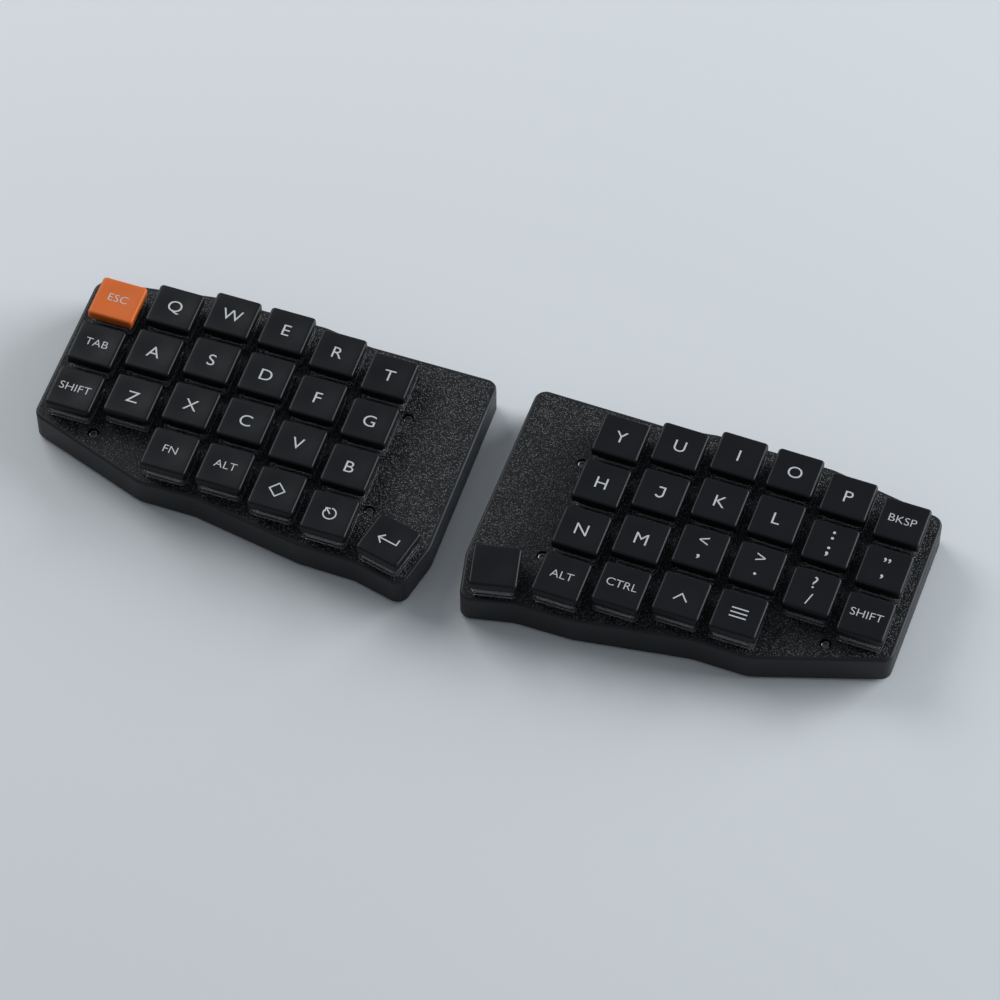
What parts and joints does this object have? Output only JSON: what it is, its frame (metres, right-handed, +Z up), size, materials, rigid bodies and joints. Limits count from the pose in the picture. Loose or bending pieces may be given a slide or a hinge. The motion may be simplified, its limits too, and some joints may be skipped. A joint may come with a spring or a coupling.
{
  "type": "ergonomic split keyboard",
  "caption": "Low split keyboard in two flat halves: column-staggered low-profile keys, one turned thumb key on each half, a single orange cap, grained black cases on rubber feet.",
  "frame": {"origin": "on the desk, under the middle of the pair of halves", "axes": "+X to the right across both halves, +Y away from the typist, +Z up"},
  "size_m": [0.293, 0.0882, 0.0195],
  "materials": {
    "case_black": "grained top, satin walls",
    "cover_black": "satin",
    "cap_black": "fine matte",
    "cap_orange": "fine matte",
    "legend_white": "printed",
    "switch_plastic": "moulded",
    "clear_cover": "clear",
    "stem_red": "moulded",
    "board_green": "solder mask",
    "spring_steel": "bright",
    "screw_black": "black oxide",
    "foot_rubber": "matte"
  },
  "bodies": {
    "left_half": {"left_top_case": "case_black", "left_bottom_cover": "cover_black", "left_circuit_board": "board_green", "left_key_switches": "switch_plastic", "left_switch_springs": "spring_steel", "left_case_screws": "screw_black", "left_rubber_feet": "foot_rubber"},
    "right_half": {"right_top_case": "case_black", "right_bottom_cover": "cover_black", "right_circuit_board": "board_green", "right_key_switches": "switch_plastic", "right_switch_springs": "spring_steel", "right_case_screws": "screw_black", "right_rubber_feet": "foot_rubber"},
    "key_escape": {"key_escape": "cap_orange"},
    "key_tab": {"key_tab": "cap_black"},
    "key_left_shift": {"key_left_shift": "cap_black"},
    "key_q": {"key_q": "cap_black"},
    "key_a": {"key_a": "cap_black"},
    "key_z": {"key_z": "cap_black"},
    "key_w": {"key_w": "cap_black"},
    "key_s": {"key_s": "cap_black"},
    "key_x": {"key_x": "cap_black"},
    "key_function": {"key_function": "cap_black"},
    "key_e": {"key_e": "cap_black"},
    "key_d": {"key_d": "cap_black"},
    "key_c": {"key_c": "cap_black"},
    "key_left_alt": {"key_left_alt": "cap_black"},
    "key_r": {"key_r": "cap_black"},
    "key_f": {"key_f": "cap_black"},
    "key_v": {"key_v": "cap_black"},
    "key_meta": {"key_meta": "cap_black"},
    "key_t": {"key_t": "cap_black"},
    "key_g": {"key_g": "cap_black"},
    "key_b": {"key_b": "cap_black"},
    "key_layer": {"key_layer": "cap_black"},
    "key_enter": {"key_enter": "cap_black"},
    "key_backspace": {"key_backspace": "cap_black"},
    "key_quote": {"key_quote": "cap_black"},
    "key_right_shift": {"key_right_shift": "cap_black"},
    "key_p": {"key_p": "cap_black"},
    "key_semicolon": {"key_semicolon": "cap_black"},
    "key_slash": {"key_slash": "cap_black"},
    "key_o": {"key_o": "cap_black"},
    "key_l": {"key_l": "cap_black"},
    "key_period": {"key_period": "cap_black"},
    "key_menu": {"key_menu": "cap_black"},
    "key_i": {"key_i": "cap_black"},
    "key_k": {"key_k": "cap_black"},
    "key_comma": {"key_comma": "cap_black"},
    "key_caret": {"key_caret": "cap_black"},
    "key_u": {"key_u": "cap_black"},
    "key_j": {"key_j": "cap_black"},
    "key_m": {"key_m": "cap_black"},
    "key_control": {"key_control": "cap_black"},
    "key_y": {"key_y": "cap_black"},
    "key_h": {"key_h": "cap_black"},
    "key_n": {"key_n": "cap_black"},
    "key_right_alt": {"key_right_alt": "cap_black"},
    "key_space": {"key_space": "cap_black"}
  },
  "joints": [
    {"name": "half_spacing", "type": "slide", "parent": "left_half", "child": "right_half", "axis": [1, 0, 0], "range_m": [-0.008, 0.15]},
    {"name": "press_escape", "type": "slide", "parent": "left_half", "child": "key_escape", "axis": [0, 0, -1], "range_m": [0, 0.003], "stiffness_N_per_m": 200, "springref_m": -0.001, "deforming": ["left_switch_springs"]},
    {"name": "press_tab", "type": "slide", "parent": "left_half", "child": "key_tab", "axis": [0, 0, -1], "range_m": [0, 0.003], "stiffness_N_per_m": 200, "springref_m": -0.001, "deforming": ["left_switch_springs"]},
    {"name": "press_left_shift", "type": "slide", "parent": "left_half", "child": "key_left_shift", "axis": [0, 0, -1], "range_m": [0, 0.003], "stiffness_N_per_m": 200, "springref_m": -0.001, "deforming": ["left_switch_springs"]},
    {"name": "press_q", "type": "slide", "parent": "left_half", "child": "key_q", "axis": [0, 0, -1], "range_m": [0, 0.003], "stiffness_N_per_m": 200, "springref_m": -0.001, "deforming": ["left_switch_springs"]},
    {"name": "press_a", "type": "slide", "parent": "left_half", "child": "key_a", "axis": [0, 0, -1], "range_m": [0, 0.003], "stiffness_N_per_m": 200, "springref_m": -0.001, "deforming": ["left_switch_springs"]},
    {"name": "press_z", "type": "slide", "parent": "left_half", "child": "key_z", "axis": [0, 0, -1], "range_m": [0, 0.003], "stiffness_N_per_m": 200, "springref_m": -0.001, "deforming": ["left_switch_springs"]},
    {"name": "press_w", "type": "slide", "parent": "left_half", "child": "key_w", "axis": [0, 0, -1], "range_m": [0, 0.003], "stiffness_N_per_m": 200, "springref_m": -0.001, "deforming": ["left_switch_springs"]},
    {"name": "press_s", "type": "slide", "parent": "left_half", "child": "key_s", "axis": [0, 0, -1], "range_m": [0, 0.003], "stiffness_N_per_m": 200, "springref_m": -0.001, "deforming": ["left_switch_springs"]},
    {"name": "press_x", "type": "slide", "parent": "left_half", "child": "key_x", "axis": [0, 0, -1], "range_m": [0, 0.003], "stiffness_N_per_m": 200, "springref_m": -0.001, "deforming": ["left_switch_springs"]},
    {"name": "press_function", "type": "slide", "parent": "left_half", "child": "key_function", "axis": [0, 0, -1], "range_m": [0, 0.003], "stiffness_N_per_m": 200, "springref_m": -0.001, "deforming": ["left_switch_springs"]},
    {"name": "press_e", "type": "slide", "parent": "left_half", "child": "key_e", "axis": [0, 0, -1], "range_m": [0, 0.003], "stiffness_N_per_m": 200, "springref_m": -0.001, "deforming": ["left_switch_springs"]},
    {"name": "press_d", "type": "slide", "parent": "left_half", "child": "key_d", "axis": [0, 0, -1], "range_m": [0, 0.003], "stiffness_N_per_m": 200, "springref_m": -0.001, "deforming": ["left_switch_springs"]},
    {"name": "press_c", "type": "slide", "parent": "left_half", "child": "key_c", "axis": [0, 0, -1], "range_m": [0, 0.003], "stiffness_N_per_m": 200, "springref_m": -0.001, "deforming": ["left_switch_springs"]},
    {"name": "press_left_alt", "type": "slide", "parent": "left_half", "child": "key_left_alt", "axis": [0, 0, -1], "range_m": [0, 0.003], "stiffness_N_per_m": 200, "springref_m": -0.001, "deforming": ["left_switch_springs"]},
    {"name": "press_r", "type": "slide", "parent": "left_half", "child": "key_r", "axis": [0, 0, -1], "range_m": [0, 0.003], "stiffness_N_per_m": 200, "springref_m": -0.001, "deforming": ["left_switch_springs"]},
    {"name": "press_f", "type": "slide", "parent": "left_half", "child": "key_f", "axis": [0, 0, -1], "range_m": [0, 0.003], "stiffness_N_per_m": 200, "springref_m": -0.001, "deforming": ["left_switch_springs"]},
    {"name": "press_v", "type": "slide", "parent": "left_half", "child": "key_v", "axis": [0, 0, -1], "range_m": [0, 0.003], "stiffness_N_per_m": 200, "springref_m": -0.001, "deforming": ["left_switch_springs"]},
    {"name": "press_meta", "type": "slide", "parent": "left_half", "child": "key_meta", "axis": [0, 0, -1], "range_m": [0, 0.003], "stiffness_N_per_m": 200, "springref_m": -0.001, "deforming": ["left_switch_springs"]},
    {"name": "press_t", "type": "slide", "parent": "left_half", "child": "key_t", "axis": [0, 0, -1], "range_m": [0, 0.003], "stiffness_N_per_m": 200, "springref_m": -0.001, "deforming": ["left_switch_springs"]},
    {"name": "press_g", "type": "slide", "parent": "left_half", "child": "key_g", "axis": [0, 0, -1], "range_m": [0, 0.003], "stiffness_N_per_m": 200, "springref_m": -0.001, "deforming": ["left_switch_springs"]},
    {"name": "press_b", "type": "slide", "parent": "left_half", "child": "key_b", "axis": [0, 0, -1], "range_m": [0, 0.003], "stiffness_N_per_m": 200, "springref_m": -0.001, "deforming": ["left_switch_springs"]},
    {"name": "press_layer", "type": "slide", "parent": "left_half", "child": "key_layer", "axis": [0, 0, -1], "range_m": [0, 0.003], "stiffness_N_per_m": 200, "springref_m": -0.001, "deforming": ["left_switch_springs"]},
    {"name": "press_enter", "type": "slide", "parent": "left_half", "child": "key_enter", "axis": [0, 0, -1], "range_m": [0, 0.003], "stiffness_N_per_m": 200, "springref_m": -0.001, "deforming": ["left_switch_springs"]},
    {"name": "press_backspace", "type": "slide", "parent": "right_half", "child": "key_backspace", "axis": [0, 0, -1], "range_m": [0, 0.003], "stiffness_N_per_m": 200, "springref_m": -0.001, "deforming": ["right_switch_springs"]},
    {"name": "press_quote", "type": "slide", "parent": "right_half", "child": "key_quote", "axis": [0, 0, -1], "range_m": [0, 0.003], "stiffness_N_per_m": 200, "springref_m": -0.001, "deforming": ["right_switch_springs"]},
    {"name": "press_right_shift", "type": "slide", "parent": "right_half", "child": "key_right_shift", "axis": [0, 0, -1], "range_m": [0, 0.003], "stiffness_N_per_m": 200, "springref_m": -0.001, "deforming": ["right_switch_springs"]},
    {"name": "press_p", "type": "slide", "parent": "right_half", "child": "key_p", "axis": [0, 0, -1], "range_m": [0, 0.003], "stiffness_N_per_m": 200, "springref_m": -0.001, "deforming": ["right_switch_springs"]},
    {"name": "press_semicolon", "type": "slide", "parent": "right_half", "child": "key_semicolon", "axis": [0, 0, -1], "range_m": [0, 0.003], "stiffness_N_per_m": 200, "springref_m": -0.001, "deforming": ["right_switch_springs"]},
    {"name": "press_slash", "type": "slide", "parent": "right_half", "child": "key_slash", "axis": [0, 0, -1], "range_m": [0, 0.003], "stiffness_N_per_m": 200, "springref_m": -0.001, "deforming": ["right_switch_springs"]},
    {"name": "press_o", "type": "slide", "parent": "right_half", "child": "key_o", "axis": [0, 0, -1], "range_m": [0, 0.003], "stiffness_N_per_m": 200, "springref_m": -0.001, "deforming": ["right_switch_springs"]},
    {"name": "press_l", "type": "slide", "parent": "right_half", "child": "key_l", "axis": [0, 0, -1], "range_m": [0, 0.003], "stiffness_N_per_m": 200, "springref_m": -0.001, "deforming": ["right_switch_springs"]},
    {"name": "press_period", "type": "slide", "parent": "right_half", "child": "key_period", "axis": [0, 0, -1], "range_m": [0, 0.003], "stiffness_N_per_m": 200, "springref_m": -0.001, "deforming": ["right_switch_springs"]},
    {"name": "press_menu", "type": "slide", "parent": "right_half", "child": "key_menu", "axis": [0, 0, -1], "range_m": [0, 0.003], "stiffness_N_per_m": 200, "springref_m": -0.001, "deforming": ["right_switch_springs"]},
    {"name": "press_i", "type": "slide", "parent": "right_half", "child": "key_i", "axis": [0, 0, -1], "range_m": [0, 0.003], "stiffness_N_per_m": 200, "springref_m": -0.001, "deforming": ["right_switch_springs"]},
    {"name": "press_k", "type": "slide", "parent": "right_half", "child": "key_k", "axis": [0, 0, -1], "range_m": [0, 0.003], "stiffness_N_per_m": 200, "springref_m": -0.001, "deforming": ["right_switch_springs"]},
    {"name": "press_comma", "type": "slide", "parent": "right_half", "child": "key_comma", "axis": [0, 0, -1], "range_m": [0, 0.003], "stiffness_N_per_m": 200, "springref_m": -0.001, "deforming": ["right_switch_springs"]},
    {"name": "press_caret", "type": "slide", "parent": "right_half", "child": "key_caret", "axis": [0, 0, -1], "range_m": [0, 0.003], "stiffness_N_per_m": 200, "springref_m": -0.001, "deforming": ["right_switch_springs"]},
    {"name": "press_u", "type": "slide", "parent": "right_half", "child": "key_u", "axis": [0, 0, -1], "range_m": [0, 0.003], "stiffness_N_per_m": 200, "springref_m": -0.001, "deforming": ["right_switch_springs"]},
    {"name": "press_j", "type": "slide", "parent": "right_half", "child": "key_j", "axis": [0, 0, -1], "range_m": [0, 0.003], "stiffness_N_per_m": 200, "springref_m": -0.001, "deforming": ["right_switch_springs"]},
    {"name": "press_m", "type": "slide", "parent": "right_half", "child": "key_m", "axis": [0, 0, -1], "range_m": [0, 0.003], "stiffness_N_per_m": 200, "springref_m": -0.001, "deforming": ["right_switch_springs"]},
    {"name": "press_control", "type": "slide", "parent": "right_half", "child": "key_control", "axis": [0, 0, -1], "range_m": [0, 0.003], "stiffness_N_per_m": 200, "springref_m": -0.001, "deforming": ["right_switch_springs"]},
    {"name": "press_y", "type": "slide", "parent": "right_half", "child": "key_y", "axis": [0, 0, -1], "range_m": [0, 0.003], "stiffness_N_per_m": 200, "springref_m": -0.001, "deforming": ["right_switch_springs"]},
    {"name": "press_h", "type": "slide", "parent": "right_half", "child": "key_h", "axis": [0, 0, -1], "range_m": [0, 0.003], "stiffness_N_per_m": 200, "springref_m": -0.001, "deforming": ["right_switch_springs"]},
    {"name": "press_n", "type": "slide", "parent": "right_half", "child": "key_n", "axis": [0, 0, -1], "range_m": [0, 0.003], "stiffness_N_per_m": 200, "springref_m": -0.001, "deforming": ["right_switch_springs"]},
    {"name": "press_right_alt", "type": "slide", "parent": "right_half", "child": "key_right_alt", "axis": [0, 0, -1], "range_m": [0, 0.003], "stiffness_N_per_m": 200, "springref_m": -0.001, "deforming": ["right_switch_springs"]},
    {"name": "press_space", "type": "slide", "parent": "right_half", "child": "key_space", "axis": [0, 0, -1], "range_m": [0, 0.003], "stiffness_N_per_m": 200, "springref_m": -0.001, "deforming": ["right_switch_springs"]}
  ]
}
